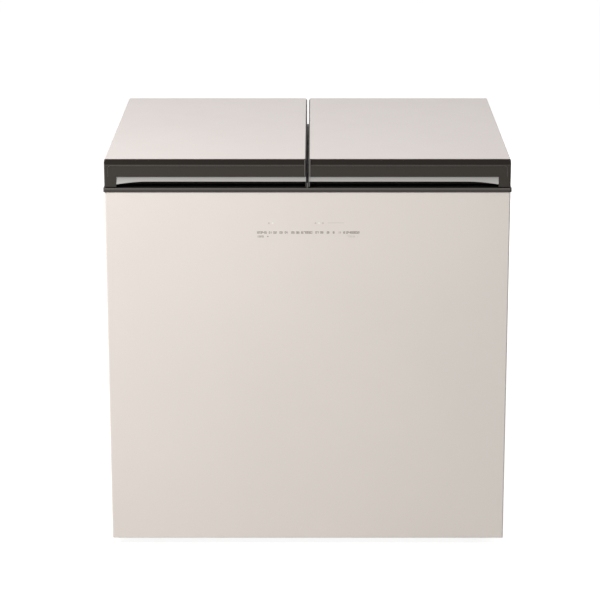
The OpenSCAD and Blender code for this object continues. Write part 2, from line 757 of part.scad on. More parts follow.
// The rear cover of the machine room, with three rows of air slots
module machine_cover() {
  color("#b9b5b0") difference() {
    box(-in_x + 0.2, in_x - 0.2, in_y, y_back, pan_top + 0.2, room_z - 0.4);
    for (s = [-1, 1], z = screw_rows)
      bar_y(s * (in_x - ret_w / 2), in_y - 1, y_back + 1, z, back_screw_r);
    for (i = [-9:9], k = [0:2]) {
      x = i * vent_pitch[0];
      z = room_z - vent_top - vent_h - k * vent_pitch[1];
      if (x - vent_w > inlet_x + inlet_r || z > inlet_z + inlet_r)
        box(x - vent_w / 2, x + vent_w / 2, in_y - 1, y_back + 1, z, z + vent_h);
    }
    bar_y(inlet_x, in_y - 1, y_back + 1, inlet_z, inlet_r - 4);
  }
}

module rear_screws() {
  color("#9a9da0") {
    for (s = [-1, 1], z = screw_rows) rear_screw(s * (in_x - ret_w / 2), y_back, z);
    for (x = hinge_xs, s = [-1, 1], dx = [-1, 1])
      rear_screw(s * x + dx * hinge_w / 4, y_back + hinge_t, plate_low + 12);
  }
}
module rear_screw(x, y, z) {
  bar_y(x, in_y - 9, y + 1, z, back_screw_r - 0.1);
  bar_y(x, y, y + 2.4, z, 4);
}

// A shallow plastic box with an open top, on the base pan
module control_box() {
  t = 2.5;
  color("#3c3f42") translate([ctrl_x0, ctrl_y0, pan_top]) {
    difference() {
      cube([ctrl_w, ctrl_d, ctrl_h]);
      translate([t, t, t]) cube([ctrl_w - 2 * t, ctrl_d - 2 * t, ctrl_h]);
    }
    for (x = [14, ctrl_w - 14], y = [14, ctrl_d - 14]) bar_z(x, y, t - 0.5, ctrl_post, 4);
  }
}
module control_board() {
  t = board_t;
  color("#2d6b45") translate([ctrl_x0, ctrl_y0, pan_top + ctrl_post]) {
    box(6, ctrl_w - 6, 6, ctrl_d - 6, 0, t);
    box(20, 58, 20, 52, t, 36);
    box(70, 92, 22, 44, t, 20);
    for (i = [0:2]) bar_z(34 + i * 24, 80, t - 0.5, 26, 8);
    for (i = [0:3]) translate([20 + i * 28, 104, t]) cube([20, 10, 10]);
  }
}

// Touch and display board standing close behind the front panel, on four pads
module display_board() {
  y = y_front + front_t + board_gap;
  color("#2d6b45") {
    box(-board_w / 2, board_w / 2, y, y + board_t, board_z - board_h / 2, board_z + board_h / 2);
    for (i = [-4:4]) bar_y(i * touch_pitch, y_front + front_t, y + 0.5, board_z - 14, touch_r);
    box(-60, 60, y_front + front_t + 0.2, y + 0.5, board_z + 2, board_z + 20);
    box(-20, 20, y + board_t, y + board_t + 8, board_z - 10, board_z + 10);
  }
}

// A bush in the rear cover where the supply lead would enter
module cord_inlet() {
  color("#1d1d1f") difference() {
    union() {
      bar_y(inlet_x, in_y - 6, y_back + 2, inlet_z, inlet_r - 4.1);
      bar_y(inlet_x, y_back, y_back + 5, inlet_z, inlet_r);
    }
    bar_y(inlet_x, in_y - 7, y_back + 6, inlet_z, cord_r);
  }
}

// ---- feet and rollers ----

module foot_bushes() {
  color("#a7aaad") for (s = [-1, 1]) difference() {
    union() {
      bar_z(s * foot_x, foot_y, foot_gap - bush_low, pan_top + bush_h, bush_r - 2.1);
      bar_z(s * foot_x, foot_y, pan_top, pan_top + bush_lip, bush_r + bush_lip);
    }
    bar_z(s * foot_x, foot_y, foot_gap - bush_low - 1, pan_top + bush_h + 1, screw_r + run_fit);
  }
}
module foot() {
  bar_z(-foot_x, foot_y, 1.5, foot_t, foot_d / 2);
  bar_z(-foot_x, foot_y, 0, 2, foot_d / 2 - 1.5);
  bar_z(-foot_x, foot_y, foot_t - 1, foot_t + screw_l, screw_r);
}
module foot_left() { color("#222222") foot(); }
module foot_right() { color("#222222") right() foot(); }

// An upside-down channel over each roller, with flanges on the base pan
module roller_brackets() {
  hw = roller_w / 2 + bracket_gap;
  d = bracket_w / 2;
  top = roller_d + 3;
  color("#8f9294") for (s = [-1, 1]) translate([s * roller_x, roller_y, 0]) difference() {
    union() {
      box(-hw, hw, -d, d, top, top + bracket_t);
      both() {
        box(hw - bracket_t, hw, -d, d, roller_z - axle_r - 5, top + 0.5);
        box(hw - bracket_t, hw + bracket_lip, -d, d, pan_top, pan_top + bracket_t);
      }
    }
    bar_x(-hw - 1, hw + 1, 0, roller_z, axle_r);
  }
}
module roller_axles() {
  hw = roller_w / 2 + bracket_gap;
  color("#b4b7ba") for (s = [-1, 1]) translate([s * roller_x, roller_y, roller_z]) {
    bar_x(-hw, hw, 0, 0, axle_r);
  }
}
module roller() {
  w = roller_w / 2 - bracket_t;
  translate([-roller_x, roller_y, roller_z]) difference() {
    bar_x(-w, w, 0, 0, roller_d / 2);
    bar_x(-w - 1, w + 1, 0, 0, axle_r + run_fit);
    for (s = [-1, 1]) translate([s * w, 0, 0]) rotate([0, 90, 0]) difference() {
      cylinder(h = 4, r = roller_d / 2 - 3.5, center = true);
      cylinder(h = 5, r = axle_r + 3, center = true);
    }
  }
}
module roller_left() { color("#2a2a2a") roller(); }
module roller_right() { color("#2a2a2a") right() roller(); }

// ---- hinges ----

// A plate screwed to the back of the cabinet with two ears round the hinge axis
module hinge_bracket(x) {
  difference() {
    union() {
      box(x - hinge_w / 2, x + hinge_w / 2, y_back, y_back + hinge_t, plate_low, rim_top - 1);
      for (m = [-1, 1]) translate([x + m * (hinge_w - hinge_t) / 2, 0, 0])
        along_x(-hinge_t / 2, hinge_t / 2) {
          translate([axis_y, axis_z]) circle(knuckle_r);
          polygon([[y_back, rim_z - 8], [y_back + 3, rim_z - 8], [axis_y + knuckle_r - 1.5, axis_z - 2],
                   [axis_y, axis_z], [y_back + 0.6, axis_z], [y_back + 0.6, rim_top - 1],
                   [y_back, rim_top - 1]]);
        }
    }
    bar_x(x - hinge_w, x + hinge_w, axis_y, axis_z, pin_d / 2 + 0.02);
    for (dx = [-1, 1])
      bar_y(x + dx * hinge_w / 4, y_back - 1, y_back + hinge_t + 1, plate_low + 12, back_screw_r);
  }
}
module hinge_brackets() { color("#8a8d90") both() for (x = hinge_xs) hinge_bracket(x); }
module hinge_pins() {
  head = 1.8;
  color("#c2c5c8") both() for (x = hinge_xs) {
    bar_x(x - hinge_w / 2 - 0.8, x + hinge_w / 2 + 0.8, axis_y, axis_z, pin_d / 2);
    for (m = [-1, 1]) translate([x + m * (hinge_w / 2 + 0.3 + head / 2), 0, 0])
      bar_x(-head / 2, head / 2, axis_y, axis_z, pin_d / 2 + 1.5);
  }
}

// A spring's centre line: a straight end, the curls, and a straight end, with the rings swept along
// it. Rings 1 and spring_n + 1 are mitred, where the wire turns from the axis into the curls.
spring_r = (pin_d / 2 + knuckle_r) / 2 + 0.25;
spring_end = 2 * wire_r;
spring_room = hinge_w - 2 * hinge_t - knuckle_l - hinge_play;
spring_l = spring_room - 2 * fit - 2 * spring_end;
spring_n = spring_turns * 8;
function curl(i) = [spring_end + spring_l * i / spring_n, spring_r * cos(i * 45), spring_r * sin(i * 45)];
function centre(j) = j == 0 ? [0, spring_r, 0]
  : j == spring_n + 2 ? curl(spring_n) + [spring_end, 0, 0] : curl(j - 1);
function ring(j, k) = let (
    i = min(max(j - 1, 0), spring_n), b = k * 60,
    straight = j == 0 || j == spring_n + 2, mitre = j == 1 || j == spring_n + 1,
    out = [0, cos(i * 45), sin(i * 45)], along = [0, -sin(i * 45), cos(i * 45)],
    side = straight ? -along : mitre ? [1, 0, 0] - along : [1, 0, 0])
  centre(j) + wire_r * (cos(b) * side + sin(b) * out);
module spring_coil() {
  last = spring_n + 2;
  pts = [for (j = [0:last], k = [0:5]) ring(j, k)];
  faces = [for (j = [0:last - 1], k = [0:5], h = [0, 1])
    let (a = j * 6 + k, b = j * 6 + (k + 1) % 6) h == 0 ? [a, b, b + 6] : [a, b + 6, a + 6]];
  caps = concat([for (k = [1:4]) [0, k + 1, k]],
                [for (k = [1:4]) let (o = last * 6) [o, o + k, o + k + 1]]);
  polyhedron(pts, concat(faces, caps));
  // the least gap between rings that lie half a curl or more apart
  least = min([for (j = [1:last - 5], m = [j + 4:last - 1], k = [0:5], q = [0:5])
    norm(ring(j, k) - ring(m, q))]);
  echo(least_gap_of_a_spring_to_itself_mm = least);
}
module hinge_springs() {
  color("#9a9da0") both() for (x = hinge_xs)
    translate([x + hinge_w / 2 - hinge_t - fit - spring_l - 2 * spring_end, axis_y, axis_z]) spring_coil();
}

// The lid's half of a hinge: a knuckle on the pin and a plate up the lid's rear wall
module hinge_arm(x) {
  x0 = x - ear_in + hinge_play;
  difference() {
    union() {
      bar_x(x0, x0 + knuckle_l, axis_y, axis_z, knuckle_r);
      box(x0, x0 + knuckle_l, lid_y1, lid_y1 + hinge_t, axis_z, axis_z + arm_low + 3);
      box(x0, x0 + knuckle_l, lid_y1, axis_y - 1, axis_z, axis_z + 4);
      box(x - hinge_w / 2, x + hinge_w / 2, lid_y1, lid_y1 + hinge_t, axis_z + arm_low, axis_z + arm_high);
      for (dx = [-1, 1], z = [arm_low + rivet_in, arm_high - rivet_in])
        bar_y(x + dx * hinge_w / 3, lid_y1 + hinge_t - 1, lid_y1 + hinge_t + 1.5, axis_z + z, rivet_r);
    }
    bar_x(x0 - 1, x0 + knuckle_l + 1, axis_y, axis_z, pin_d / 2 + run_fit);
  }
}
module hinge_arms_left() { color("#8a8d90") for (x = hinge_xs) hinge_arm(x); }
module hinge_arms_right() { color("#8a8d90") right() for (x = hinge_xs) hinge_arm(x); }

// ---- lids ----

// Front view of a lid: the outer side leans in along the plain band, and the inner side has a shoulder
// that starts below the panel
module lid_front_view() {
  polygon(concat(
    [[lid_x0, lid_z]],
    [for (i = [0:6]) [lid_x0 + side_lean * (1 - cos(15 * i)), band_z + band_h * sin(15 * i)]],
    [[lid_x1, overall_h], [lid_x1, panel_z], [lid_x1 + shoulder, panel_z - 3], [lid_x1 + shoulder, lid_z]]));
}

// The beige sheet on top of a lid
module lid_panel() {
  intersection() {
    along_y(y_front - 1, lid_y1 + 1) lid_front_view();
    rbox(lid_x0, lid_x1, y_front, lid_y1, panel_z, overall_h, 2);
  }
}
module lid_panel_left() { color("#e4dbd4") lid_panel(); }
module lid_panel_right() { color("#e4dbd4") right() lid_panel(); }

// Outer form of a lid under its panel: front view, side view and plan cut together
module lid_form() {
  o = fascia_out;
  intersection() {
    along_y(y_front - 10, lid_y1) lid_front_view();
    along_x(lid_x0, lid_x1 + shoulder)
      polygon([[y_front - 2, lid_z], [y_front - 2, fascia_z], [y_front - o, band_z - 1.5], [y_front, band_z],
               [y_front, panel_z], [lid_y1, panel_z], [lid_y1, lid_z]]);
    rbox(lid_x0, lid_x1 + shoulder, y_front - 2, lid_y1 + 0.01, lid_z - 1, panel_z + 1, 5);
  }
}

module lid_frame() {
  x0 = lid_x0 + lid_wall;
  x1 = lid_x1 - lid_wall;
  rx0 = lid_x0 + grip_inset;
  difference() {
    lid_form();
    // inside, behind the finger recess and above it
    box(x0, x1, recess_y + lid_wall, lid_y1 - lid_wall, lid_z - 1, panel_z - 2);
    box(x0, x1, y_front + lid_wall, recess_y + lid_wall + 1, fascia_z + lid_wall, panel_z - 2);
    box(x0 + ledge_w, x1 - ledge_w, y_front + lid_wall + ledge_w, lid_y1 - lid_wall - ledge_w,
        panel_z - 3, panel_z + 1);
    // the finger recess
    box(rx0, lid_x1, y_front - 5, recess_y, lid_z - 1, fascia_z);
  }
}
module lid_frame_left() { color("#46423f") lid_frame(); }
module lid_frame_right() { color("#46423f") right() lid_frame(); }

// Front outline of the handle strip: level along its middle, swept down at its outer end
function grip_point(t, low, deep) = [y_front - 0.4 - 1.6 * t * t + deep, fascia_z - (fascia_z - low) * t];
module handle() {
  x0 = lid_x0 + grip_inset + 0.2;
  x1 = lid_x1 - 0.2;
  low = lid_z + grip_low;
  mid = fascia_z - grip_h;
  n = 12;
  intersection() {
    along_y(y_front - 5, y_front + 6) polygon(concat(
      [[x0, fascia_z]],
      [for (i = [0:n]) [x0 + sweep_l * i / n, low + (mid - low) * sin(90 * i / n)]],
      [[x1, mid], [x1, fascia_z]]));
    // bowed a little towards the front at its lower edge
    along_x(x0 - 1, x1 + 1) polygon(concat(
      [for (i = [0:6]) grip_point(i / 6, low, 0)], [for (i = [6:-1:0]) grip_point(i / 6, low, grip_t)]));
  }
}
module handle_left() { color("#b5b3b0") handle(); }
module handle_right() { color("#b5b3b0") right() handle(); }

// The lid's white inside: a flange in the frame, and a hollow plug that fills the well's mouth
module plug(off, z0, z1) {
  g = plug_gap + off;
  rbox(well_x0 + g, well_x1 - g, well_y0 + g, well_y1 - g, z0, z1, well_r - g);
}
module lid_liner() {
  x0 = lid_x0 + lid_wall + 0.2;
  x1 = lid_x1 - lid_wall - 0.2;
  difference() {
    union() {
      box(x0, x1, recess_y + lid_wall + 0.2, lid_y1 - lid_wall - 0.2, flange_z, flange_z + liner_t);
      plug(0, lid_z - plug_h, flange_z + 0.5);
    }
    plug(liner_t, lid_z - plug_h + liner_t, flange_z + liner_t + 1);
  }
}
module lid_liner_left() { color("#eeeeee") lid_liner(); }
module lid_liner_right() { color("#eeeeee") right() lid_liner(); }

module lid_foam() {
  x0 = lid_x0 + lid_wall + 0.2;
  x1 = lid_x1 - lid_wall - 0.2;
  y0 = y_front + lid_wall + 0.2;
  y1 = lid_y1 - lid_wall - 0.2;
  difference() {
    union() {
      box(x0, x1, recess_y + lid_wall + 0.2, y1, flange_z + liner_t, panel_z - 2.2);
      box(x0, x1, y0, recess_y + lid_wall + 1, fascia_z + lid_wall + 0.2, panel_z - 2.2);
      box(x0 + ledge_w + 0.2, x1 - ledge_w - 0.2, y0 + ledge_w, y1 - ledge_w,
          panel_z - 3, panel_z - 0.2);
      plug(liner_t + 0.2, lid_z - plug_h + liner_t, flange_z + liner_t + 1);
    }
  }
}
module lid_foam_left() { color("#e8d9a8") lid_foam(); }
module lid_foam_right() { color("#e8d9a8") right() lid_foam(); }

module lid_gasket() {
  o = gasket_w + 2;
  ring_box(well_x0 - o, well_x1 + o, well_y0 - o, well_y1 + o, rim_top + gasket_gap, flange_z,
           well_r + o, gasket_w);
}
module lid_gasket_left() { color("#2c2c2c") lid_gasket(); }
module lid_gasket_right() { color("#2c2c2c") right() lid_gasket(); }

// ---- containers ----

// A rounded block that lies as far as in within a container's outline
module tub_form(x0, y0, in, z0, z1) {
  rbox(x0 + in, x0 + box_w - in, y0 + in, y0 + box_d - in, z0, z1, box_r - in);
}

// An open tub with a brim, at place k of the left well
module tub(k) {
  x0 = box_x0c;
  y0 = box_y0c[k];
  z0 = box_z0c[k];
  top = z0 + box_h - box_lid_t - fit;
  difference() {
    union() {
      tub_form(x0, y0, box_brim, z0, top);
      tub_form(x0, y0, box_lid_t, top - 3, top);
    }
    tub_form(x0, y0, box_brim + box_t, z0 + box_t, top + 1);
  }
}
module tub_lid(k) {
  x0 = box_x0c;
  y0 = box_y0c[k];
  z1 = box_z0c[k] + box_h;
  difference() {
    tub_form(x0, y0, 0, z1 - box_lid_h, z1);
    tub_form(x0, y0, box_lid_t - 0.5, z1 - box_lid_h - 1, z1 - box_lid_t);
  }
}
module tub_front_left() { color("#c9b8a6") tub(0); }
module tub_front_right() { color("#c9b8a6") right() tub(0); }
module tub_rear_left() { color("#c9b8a6") tub(1); }
module tub_rear_right() { color("#c9b8a6") right() tub(1); }
module tub_lid_front_left() { color("#8e3b33") tub_lid(0); }
module tub_lid_front_right() { color("#8e3b33") right() tub_lid(0); }
module tub_lid_rear_left() { color("#8e3b33") tub_lid(1); }
module tub_lid_rear_right() { color("#8e3b33") right() tub_lid(1); }

side_panel_left();
side_panel_right();
front_panel();
back_panel();
base_pan();
top_rim();
liner_left();
liner_right();
insulation_foam();
evaporator_left();
evaporator_right();
machine_room_plate();
compressor();
compressor_grommets();
compressor_studs();
condenser();
fan_shroud();
fan_motor();
fan_blade();
filter_drier();
refrigerant_pipes();
machine_cover();
rear_screws();
control_box();
control_board();
display_board();
temperature_sensors();
cord_inlet();
roller_brackets();
roller_axles();
roller_left();
roller_right();
foot_bushes();
foot_left();
foot_right();
hinge_brackets();
hinge_pins();
hinge_springs();
lid_panel_left();
lid_panel_right();
lid_frame_left();
lid_frame_right();
handle_left();
handle_right();
lid_liner_left();
lid_liner_right();
lid_foam_left();
lid_foam_right();
lid_gasket_left();
lid_gasket_right();
hinge_arms_left();
hinge_arms_right();
tub_front_left();
tub_front_right();
tub_rear_left();
tub_rear_right();
tub_lid_front_left();
tub_lid_front_right();
tub_lid_rear_left();
tub_lid_rear_right();
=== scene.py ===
import bmesh
import bpy
import math
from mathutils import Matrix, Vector


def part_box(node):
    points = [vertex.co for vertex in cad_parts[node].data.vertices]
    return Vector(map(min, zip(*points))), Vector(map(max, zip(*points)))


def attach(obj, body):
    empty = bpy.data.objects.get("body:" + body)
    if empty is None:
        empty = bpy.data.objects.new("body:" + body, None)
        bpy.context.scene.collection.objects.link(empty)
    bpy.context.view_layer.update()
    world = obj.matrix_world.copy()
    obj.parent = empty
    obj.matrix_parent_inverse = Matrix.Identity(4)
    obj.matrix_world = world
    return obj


# A twin-lid chest refrigerator, dressed over its solid model. Metres, X right, Z up, front to -Y.
# Every piece is made where it lies at rest, lids shut.

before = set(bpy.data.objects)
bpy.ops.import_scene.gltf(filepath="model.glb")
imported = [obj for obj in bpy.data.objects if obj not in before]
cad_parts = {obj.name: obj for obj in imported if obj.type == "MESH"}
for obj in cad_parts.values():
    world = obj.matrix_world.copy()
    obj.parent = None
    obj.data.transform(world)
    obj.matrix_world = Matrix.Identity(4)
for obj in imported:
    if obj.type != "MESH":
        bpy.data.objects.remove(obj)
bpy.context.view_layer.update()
scene = bpy.context.scene

# ---- sizes read from the solids: each box is its lowest and its highest corner ----
RIGHT_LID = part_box("lid_frame_right")
LEFT_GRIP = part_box("handle_left")
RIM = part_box("top_rim")
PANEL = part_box("front_panel")
LID_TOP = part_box("lid_panel_left")[1].z
FRONT = PANEL[0].y

# The dark lid frame shows a band below the lid's top, and a lighter fascia below the band
BAND_HEIGHT, FASCIA_HEIGHT = 0.014, 0.027
BAND_LOW = LID_TOP - BAND_HEIGHT
FASCIA_LOW = BAND_LOW - FASCIA_HEIGHT
SIDES = {"left": -1, "right": 1}


# ---- how materials are built ----
NOISE_RANGE = (0.3, 0.7)  # most values of a noise lie in it
COLOUR_DETAIL, GLOSS_DETAIL, RELIEF_DETAIL, LINE_DETAIL = 4.0, 5.0, 2.0, 3.0


def add_node(tree, kind, values=None, sources=None):
    """A new node; values are set on its inputs, and sources are linked to them."""
    node = tree.nodes.new(kind)
    for socket, value in (values or {}).items():
        node.inputs[socket].default_value = value
    for socket, source in (sources or {}).items():
        tree.links.new(source, node.inputs[socket])
    return node


class Shader:
    """Builds one procedural material around a Principled surface."""

    def __init__(self, name, colour, roughness, metallic=0.0, specular=0.5):
        self.material = bpy.data.materials.new(name)
        self.material.use_nodes = True
        self.tree = self.material.node_tree
        self.surface = self.tree.nodes["Principled BSDF"]
        self.colour = colour
        self.roughness = roughness
        self.surface.inputs["Base Color"].default_value = (*colour, 1)
        self.surface.inputs["Roughness"].default_value = roughness
        self.surface.inputs["Metallic"].default_value = metallic
        self.surface.inputs["Specular IOR Level"].default_value = specular
        self.where = self.tree.nodes.new("ShaderNodeTexCoord").outputs["Object"]

    def drive(self, source, socket):
        """Links a value or colour to one of the surface's sockets."""
        self.tree.links.new(source, self.surface.inputs[socket])

    def stretched(self, scale):
        """Object coordinates multiplied along each axis."""
        return add_node(self.tree, "ShaderNodeMapping", {"Scale": scale}, {"Vector": self.where}).outputs[0]

    def along(self, axis):
        """The object coordinate along X, Y or Z."""
        return add_node(self.tree, "ShaderNodeSeparateXYZ", sources={0: self.where}).outputs[axis]

    def noise(self, scale, detail, where=None):
        """A soft irregular pattern, finer with a higher scale."""
        node = add_node(self.tree, "ShaderNodeTexNoise", {"Scale": scale, "Detail": detail},
                        {"Vector": where or self.where})
        return node.outputs["Fac"]

    def cells(self, scale):
        """A node of irregular cells: the colour of each, and the distance from its middle."""
        return add_node(self.tree, "ShaderNodeTexVoronoi", {"Scale": scale}, {"Vector": self.where})

    def calculate(self, operation, value, *numbers):
        """A sum on a value and up to two numbers."""
        node = add_node(self.tree, "ShaderNodeMath", dict(enumerate(numbers, 1)), {0: value})
        node.operation = operation
        return node.outputs[0]

    def remap(self, value, low, high, new_low=0.0, new_high=1.0):
        """Carries the range from low to high over to a new range, and holds it at its ends."""
        node = add_node(self.tree, "ShaderNodeMapRange", {"From Min": low, "From Max": high,
                        "To Min": new_low, "To Max": new_high}, {"Value": value})
        return node.outputs["Result"]

    def mix(self, factor, a, b):
        """Blends two colours, each a tuple or a socket."""
        node = self.tree.nodes.new("ShaderNodeMix")
        node.data_type = "RGBA"
        self.tree.links.new(factor, node.inputs["Factor"])
        first_colour, second_colour, blend = node.inputs[6], node.inputs[7], node.outputs[2]
        for value, socket in ((a, first_colour), (b, second_colour)):
            if isinstance(value, tuple):
                socket.default_value = (*value, 1)
            else:
                self.tree.links.new(value, socket)
        return blend

    def mottle(self, scale, amount, where=None):
        """Lets the colour drift a little from place to place."""
        light = tuple(min(1, c * (1 + amount)) for c in self.colour)
        dark = tuple(c * (1 - amount) for c in self.colour)
        drift = self.remap(self.noise(scale, COLOUR_DETAIL, where), *NOISE_RANGE)
        self.drive(self.mix(drift, dark, light), "Base Color")

    def uneven_gloss(self, scale, amount, where=None):
        """Lets the roughness drift by this amount either way."""
        value = self.noise(scale, GLOSS_DETAIL, where)
        rough = self.remap(value, *NOISE_RANGE, self.roughness - amount, self.roughness + amount)
        self.drive(rough, "Roughness")

    def bump(self, height, depth, edge=0.0):
        """A relief of this depth, and edges that look rounded by the radius edge."""
        node = add_node(self.tree, "ShaderNodeBump", {"Strength": 1.0, "Distance": depth}, {"Height": height})
        if edge:
            bevel = add_node(self.tree, "ShaderNodeBevel", {"Radius": edge})
            bevel.samples = 6
            self.tree.links.new(bevel.outputs["Normal"], node.inputs["Normal"])
        self.drive(node.outputs["Normal"], "Normal")

    def relief(self, scale, depth, edge=0.0, where=None):
        """A fine, irregular surface texture."""
        self.bump(self.noise(scale, RELIEF_DETAIL, where), depth, edge)


# ---- kinds of material ----
def coated_sheet(name, colour, roughness=0.38):
    """Painted steel sheet with faint orange peel."""
    s = Shader(name, colour, roughness, specular=0.35)
    s.mottle(scale=3.0, amount=0.012)
    s.uneven_gloss(scale=14.0, amount=0.03)
    s.relief(scale=900.0, depth=0.00002, edge=0.0012)
    return s.material


def zinc_sheet(name, colour):
    """Galvanised sheet: dull crystals of slightly different grey."""
    s = Shader(name, colour, 0.42, metallic=0.35)
    crystals = s.cells(scale=90.0).outputs["Color"]
    crystal = add_node(s.tree, "ShaderNodeRGBToBW", sources={0: crystals}).outputs[0]
    dark, light = tuple(c * 0.86 for c in colour), tuple(c * 1.1 for c in colour)
    s.drive(s.mix(crystal, dark, light), "Base Color")
    s.drive(s.remap(crystal, 0, 1, new_low=0.34, new_high=0.5), "Roughness")
    s.relief(scale=300.0, depth=0.00003, edge=0.0006)
    return s.material


def moulded(name, colour, roughness, grain=1400.0, depth=0.00003, edge=0.0008, specular=0.4, drift=0.06):
    """Injection-moulded plastic with a fine leathery grain."""
    s = Shader(name, colour, roughness, specular=specular)
    s.mottle(scale=25.0, amount=drift)
    s.uneven_gloss(scale=40.0, amount=0.05)
    s.relief(scale=grain, depth=depth, edge=edge)
    return s.material


def metal(name, colour, roughness, drawn=(400, 30, 30)):
    """Drawn or turned metal: drawn says how fine its texture is along X, Y and Z."""
    s = Shader(name, colour, roughness, metallic=1.0)
    lines = s.stretched(drawn)
    s.mottle(scale=1.0, amount=0.08, where=lines)
    s.uneven_gloss(scale=1.0, amount=0.07, where=lines)
    s.relief(scale=1.0, depth=0.00002, edge=0.0004, where=lines)
    return s.material


def foam(name):
    """Rigid foam with open pores and a yellowish skin."""
    s = Shader(name, (0.78, 0.68, 0.42), 0.9, specular=0.2)
    s.mottle(scale=18.0, amount=0.1)
    s.bump(s.cells(scale=320.0).outputs["Distance"], depth=0.0004)
    return s.material


PARTS_BLUR = 0.0003  # height over which a board turns into the parts on it


def board(name, parts_axis, parts_from):
    """A circuit board: green lacquer with traces, and dark parts standing on it."""
    lacquer, dark_parts = (0.035, 0.2, 0.09), (0.05, 0.05, 0.055)
    trace, bare = tuple(c * 1.25 for c in lacquer), tuple(c * 0.6 for c in lacquer)
    s = Shader(name, lacquer, 0.35)
    traces = add_node(s.tree, "ShaderNodeTexBrick", {"Scale": 60.0, "Color1": (*lacquer, 1),
                      "Color2": (*trace, 1), "Mortar": (*bare, 1)}, {"Vector": s.where})
    parts = s.remap(s.along(parts_axis), parts_from, parts_from + PARTS_BLUR)
    s.drive(s.mix(parts, traces.outputs["Color"], dark_parts), "Base Color")
    s.uneven_gloss(scale=80.0, amount=0.06)
    s.relief(scale=700.0, depth=0.00003, edge=0.0003)
    return s.material


# The lid frame's colours, and where they change. Two of them are painted light: a highlight line on the
# fascia, and a reflection on the ends that face the gap.
BAND, FASCIA, FASCIA_EDGE_HIGHLIGHT = (0.0142, 0.0112, 0.0085), (0.0405, 0.0352, 0.0298), (0.047, 0.0415, 0.036)
# Painted reflection: the colour of the lid ends that face the gap between the lids
GAP_SIDE_REFLECTION = (0.1, 0.092, 0.085)
BAND_BLUR = 0.0006                           # either way from the band's lower edge
HIGHLIGHT_BELOW_BAND, HIGHLIGHT_HALF_HEIGHT = 0.0012, 0.0011  # the painted highlight line along the fascia's upper edge: its middle, and half its height
REFLECTION_REACH, REFLECTION_BLUR = 0.0022, 0.0006         # reach of the painted reflection on the ends that face the gap, and its fade


def trim(name):
    """The dark lid frame: a plain band on top, a lighter fascia below it, finely grained. A painted highlight
    line runs along the fascia's upper edge, and the ends that face the gap between the lids are painted
    lighter as a reflection.
    """
    s = Shader(name, (0.03, 0.026, 0.023), 0.42, specular=0.15)
    z, across = s.along("Z"), s.calculate("ABSOLUTE", s.along("X"))
    face = s.mix(s.remap(z, BAND_LOW - BAND_BLUR, BAND_LOW + BAND_BLUR), FASCIA, BAND)
    # Painted highlight: a lighter line along the fascia's upper edge, where that edge catches the light
    face = s.mix(s.calculate("COMPARE", z, BAND_LOW - HIGHLIGHT_BELOW_BAND, HIGHLIGHT_HALF_HEIGHT), face, FASCIA_EDGE_HIGHLIGHT)
    # Painted reflection: the ends that face the gap are lighter, as if they caught light at a grazing angle
    reflection_end = RIGHT_LID[0].x + REFLECTION_REACH
    s.drive(s.mix(s.remap(across, reflection_end, reflection_end + REFLECTION_BLUR), GAP_SIDE_REFLECTION, face), "Base Color")
    s.uneven_gloss(scale=60.0, amount=0.05)
    s.relief(scale=1600.0, depth=0.00002, edge=0.0012)
    return s.material


# The rim's colours: its own face colour, a painted highlight line along its upper edge, and painted shade on
# its top. Also the depths below its top between which one turns into the next.
RIM_TOP_SHADE, RIM_EDGE_HIGHLIGHT, RIM_FACE = (0.012, 0.0105, 0.0095), (0.098, 0.09, 0.083), (0.049, 0.0445, 0.04)
FACE_TO_HIGHLIGHT, HIGHLIGHT_TO_SHADE = (0.0052, 0.0032), (0.0007, 0.0001)


def rim_trim(name):
    """The rim's moulding: painted shade makes it dark on top, a painted highlight makes a light line along
    its upper edge, and it is darker below that line.
    """
    s = Shader(name, (0.045, 0.04, 0.036), 0.4, specular=0.2)
    z, top = s.along("Z"), RIM[1].z
    # Painted highlight: a light line along the rim's upper edge
    front = s.mix(s.remap(z, *(top - depth for depth in FACE_TO_HIGHLIGHT)), RIM_FACE, RIM_EDGE_HIGHLIGHT)
    # Painted shade: the rim's top, which lies in the shadow under the lids, is made dark
    s.drive(s.mix(s.remap(z, *(top - depth for depth in HIGHLIGHT_TO_SHADE)), front, RIM_TOP_SHADE), "Base Color")
    s.uneven_gloss(scale=50.0, amount=0.05)
    s.relief(scale=1500.0, depth=0.00002, edge=0.0012)
    return s.material


# The handle strip's colours: along its lit foot, along its top in painted shade under the fascia, and in its
# brushed lines
SILVER_LIT_FOOT, SILVER_SHADED_TOP, SILVER_LINE = (0.44, 0.43, 0.414), (0.31, 0.301, 0.29), (0.5, 0.49, 0.475)
SILVER_SHADE_FADE = 0.014                         # height over which the lit foot's colour turns into the painted shade of the top
LINE_STRENGTH = 0.25                        # share of the lines' colour where it is strongest


def silver_strip(name):
    """Satin silver lacquer on the handle strips, with fine lines along their length, and painted shade that
    darkens them towards their top under the fascia.
    """
    s = Shader(name, (0.38, 0.37, 0.36), 0.36, metallic=0.25, specular=0.4)
    top = LEFT_GRIP[1].z
    # Painted shade: darker towards the top, where the fascia above overhangs the strip
    shade = s.mix(s.remap(s.along("Z"), top - SILVER_SHADE_FADE, top), SILVER_LIT_FOOT, SILVER_SHADED_TOP)
    lines = s.remap(s.noise(1.0, LINE_DETAIL, s.stretched((6, 2500, 2500))), *NOISE_RANGE, 0, LINE_STRENGTH)
    s.drive(s.mix(lines, shade, SILVER_LINE), "Base Color")
    s.uneven_gloss(scale=1.0, amount=0.05, where=s.stretched((8, 900, 900)))
    s.relief(scale=1.0, depth=0.00001, edge=0.0004, where=s.stretched((10, 1500, 1500)))
    return s.material


# ---- materials of the solids ----
CONTROL_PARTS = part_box("control_board")[0].z + 0.0016   # parts stand on top of this board
DISPLAY_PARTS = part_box("display_board")[0].y + 0.0076   # parts stand behind this one

